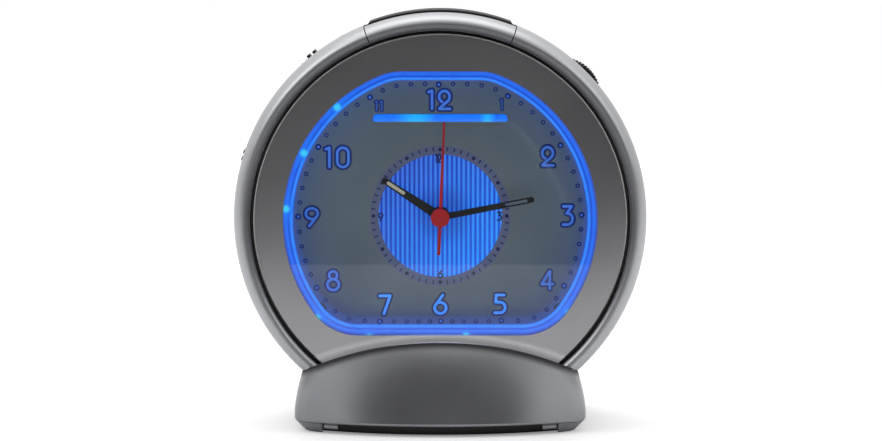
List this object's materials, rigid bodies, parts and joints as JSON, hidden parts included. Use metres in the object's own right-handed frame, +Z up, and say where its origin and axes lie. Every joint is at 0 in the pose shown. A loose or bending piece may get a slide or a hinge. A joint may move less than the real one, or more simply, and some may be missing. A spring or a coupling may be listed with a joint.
{
  "type": "bed shaker alarm clock",
  "caption": "Round alarm clock on a pedestal, with a lit dial, hands, a snooze bar on top, thumb wheel and slide controls, and a rear socket for a bed shaker.",
  "frame": {"origin": "middle of the footprint on the table plane, under the case", "axes": "+Z up, -Y towards the viewer of the dial, +X to the viewer's right; the hands' axis is parallel to Y"},
  "size_m": [0.1352, 0.0754, 0.1374],
  "materials": {
    "case_silver": "satin silver",
    "bezel_grey": "satin dark grey",
    "lens_clear": "clear",
    "ring_blue": "clear plastic lit blue",
    "dial_grey": "matt blue grey",
    "subdial_blue": "ribbed, lit blue",
    "bar_blue": "lit blue",
    "frame_white": "white",
    "lamp_white": "clear",
    "board_green": "lacquered board",
    "screw_steel": "plated",
    "movement_black": "moulded",
    "movement_cover_grey": "moulded",
    "arbor_brass": "turned",
    "hand_black": "black",
    "hand_red": "red",
    "inlay_cream": "pale",
    "pad_black": "satin black",
    "control_black": "black",
    "switch_grey": "moulded",
    "can_grey": "sleeved can",
    "relay_blue": "moulded",
    "basket_steel": "pressed",
    "cone_paper": "pressed paper",
    "magnet_grey": "ferrite",
    "battery_shell": "plain sleeve",
    "socket_black": "moulded",
    "base_grey": "satin silver grey",
    "plinth_black": "black",
    "foot_grey": "dark grey"
  },
  "bodies": {
    "case": {"front_case": "case_silver", "rear_case": "case_silver", "bezel_plate": "bezel_grey", "lens": "lens_clear", "light_ring": "ring_blue", "dial_plate": "dial_grey", "dial_frame": "frame_white", "subdial_lens": "subdial_blue", "light_bar": "bar_blue", "reflector_cup": "frame_white", "lamp_board": "board_green", "ring_lamps": "lamp_white", "chip_lamps": "lamp_white", "lamp_board_screws": "screw_steel", "movement_case": "movement_black", "movement_cover": "movement_cover_grey", "movement_nut": "arbor_brass", "snooze_board": "board_green", "snooze_switch": "switch_grey", "control_pots": "switch_grey", "control_board": "board_green", "slide_switch_bodies": "switch_grey", "slide_switch_boards": "board_green", "main_board": "board_green", "relay": "relay_blue", "capacitors": "can_grey", "driver_chip": "switch_grey", "main_board_screws": "screw_steel", "speaker_basket": "basket_steel", "speaker_cone": "cone_paper", "speaker_magnet": "magnet_grey", "battery": "battery_shell", "battery_clip": "switch_grey", "power_socket": "socket_black", "shaker_socket": "socket_black", "case_screws": "screw_steel", "base_shell": "base_grey", "base_plate": "plinth_black", "base_feet": "foot_grey", "base_screws": "screw_steel"},
    "second_hand": {"second_hand": "hand_red", "second_arbor": "screw_steel"},
    "minute_hand": {"minute_hand": "hand_black", "minute_arbor": "arbor_brass"},
    "hour_hand": {"hour_hand": "hand_black", "hour_hand_inlay": "inlay_cream", "hour_arbor": "arbor_brass"},
    "alarm_hand": {"alarm_hand": "hand_black", "alarm_arbor": "arbor_brass"},
    "time_knob": {"time_set_knob": "control_black", "time_set_shaft": "screw_steel"},
    "alarm_knob": {"alarm_set_knob": "control_black", "alarm_set_shaft": "screw_steel"},
    "snooze_bar": {"snooze_bar": "case_silver", "snooze_pad": "pad_black"},
    "volume_wheel": {"volume_wheel": "control_black"},
    "tone_wheel": {"tone_wheel": "control_black"},
    "upper_switch": {"upper_slide_knob": "control_black"},
    "lower_switch": {"lower_slide_knob": "control_black"},
    "battery_door": {"battery_door": "case_silver"}
  },
  "joints": [
    {"name": "second_hand_turn", "type": "hinge", "parent": "case", "child": "second_hand", "pos_m": [0, -0.0183, 0.0695], "axis": [0, 1, 0], "continuous": true},
    {"name": "minute_hand_turn", "type": "hinge", "parent": "case", "child": "minute_hand", "pos_m": [0, -0.0169, 0.0695], "axis": [0, 1, 0], "continuous": true},
    {"name": "hour_hand_turn", "type": "hinge", "parent": "case", "child": "hour_hand", "pos_m": [0, -0.0155, 0.0695], "axis": [0, 1, 0], "continuous": true},
    {"name": "time_knob_turn", "type": "hinge", "parent": "case", "child": "time_knob", "pos_m": [-0.016, 0.031, 0.0655], "axis": [0, 1, 0], "continuous": true},
    {"name": "alarm_knob_turn", "type": "hinge", "parent": "case", "child": "alarm_knob", "pos_m": [0.016, 0.031, 0.0655], "axis": [0, 1, 0], "continuous": true},
    {"name": "alarm_hand_turn", "type": "hinge", "parent": "case", "child": "alarm_hand", "pos_m": [0, -0.0141, 0.0695], "axis": [0, 1, 0], "continuous": true},
    {"name": "snooze_press", "type": "hinge", "parent": "case", "child": "snooze_bar", "pos_m": [0, -0.0259, 0.1291], "axis": [-1, 0, 0], "range_deg": [0, 2.5], "stiffness_Nm_per_rad": 0.5, "springref_deg": -2.86},
    {"name": "volume_turn", "type": "hinge", "parent": "case", "child": "volume_wheel", "pos_m": [0.04124, -0.00415, 0.10891], "axis": [0, 1, 0], "range_deg": [-135, 135]},
    {"name": "tone_turn", "type": "hinge", "parent": "case", "child": "tone_wheel", "pos_m": [0.04124, 0.00575, 0.10891], "axis": [0, 1, 0], "range_deg": [-135, 135]},
    {"name": "upper_switch_slide", "type": "slide", "parent": "case", "child": "upper_switch", "axis": [0.7804, 0, 0.6252], "range_m": [0, 0.003]},
    {"name": "lower_switch_slide", "type": "slide", "parent": "case", "child": "lower_switch", "axis": [0.2874, 0, 0.9578], "range_m": [0, 0.003]},
    {"name": "battery_door_swing", "type": "hinge", "parent": "case", "child": "battery_door", "pos_m": [0, 0.027, 0.0224], "axis": [-1, 0, 0], "range_deg": [0, 85]}
  ],
  "couplings": [
    {"joint": "minute_hand_turn", "follows": "second_hand_turn", "ratio": 0.016667},
    {"joint": "hour_hand_turn", "follows": "second_hand_turn", "ratio": 0.0013889},
    {"joint": "time_knob_turn", "follows": "second_hand_turn", "ratio": -0.016667},
    {"joint": "alarm_hand_turn", "follows": "alarm_knob_turn", "ratio": -1}
  ]
}
